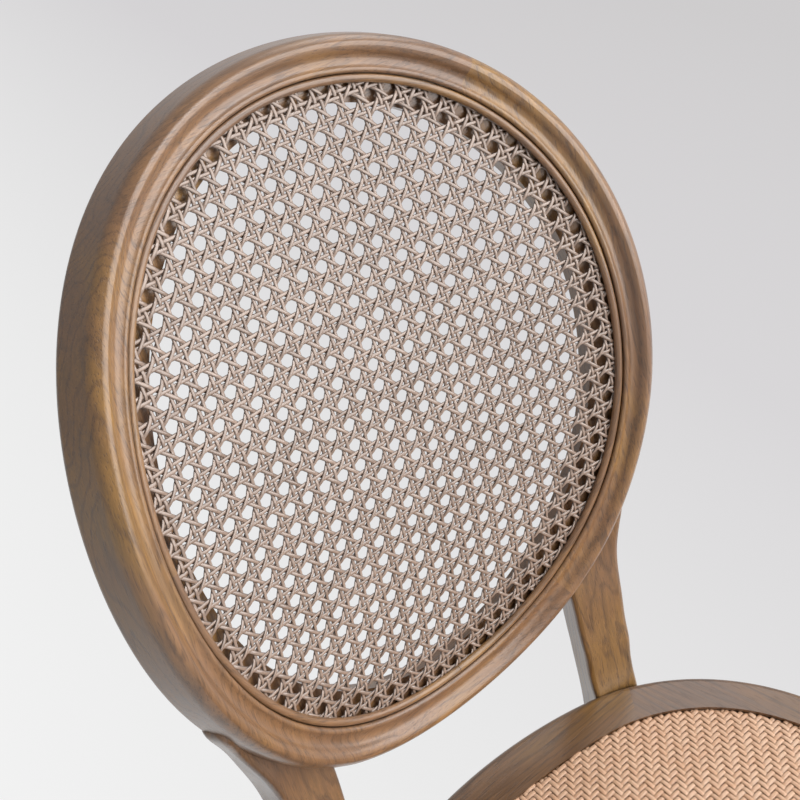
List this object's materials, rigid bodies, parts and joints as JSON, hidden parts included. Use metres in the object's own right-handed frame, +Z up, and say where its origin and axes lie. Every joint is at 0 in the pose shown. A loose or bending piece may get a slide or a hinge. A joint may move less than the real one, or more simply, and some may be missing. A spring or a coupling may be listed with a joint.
{
  "type": "dining chair",
  "caption": "Dining chair with an oval cane back in a moulded wood frame, a woven seat in a flat rim, turned front legs and raked rear legs.",
  "frame": {"origin": "on the floor, under the middle of the chair's overall box", "axes": "+Z up, -Y the way the sitter faces, X across the chair"},
  "size_m": [0.4754, 0.5818, 0.9999],
  "materials": {
    "oak": "brown stain, satin, open grain",
    "cane": "satin",
    "rattan": "satin",
    "wadding": "dark brown lining cloth, matt",
    "board": "raw plywood",
    "dowel": "raw beech",
    "steel": "zinc plated",
    "glide": "matt"
  },
  "bodies": {
    "root": {"apron_dowels": "dowel", "apron_front": "oak", "apron_left": "oak", "apron_rear": "oak", "apron_right": "oak", "back_frame_bottom": "oak", "back_frame_dowels": "dowel", "back_frame_left": "oak", "back_frame_right": "oak", "back_frame_top": "oak", "cane_bead": "oak", "cane_panel": "cane", "corner_block_front_left": "oak", "corner_block_front_right": "oak", "corner_block_rear_left": "oak", "corner_block_rear_right": "oak", "corner_block_screws": "steel", "front_leg_dowels": "dowel", "front_leg_left": "oak", "front_leg_right": "oak", "glide_front_left": "glide", "glide_front_right": "glide", "glide_rear_left": "glide", "glide_rear_right": "glide", "post_dowels": "dowel", "rear_leg_bolts": "steel", "rear_leg_left": "oak", "rear_leg_right": "oak", "seat_board": "board", "seat_board_screws": "steel", "seat_pad": "wadding", "seat_rim_dowels": "dowel", "seat_rim_front": "oak", "seat_rim_left": "oak", "seat_rim_rear": "oak", "seat_rim_right": "oak", "seat_weave": "rattan"}
  },
  "joints": []
}
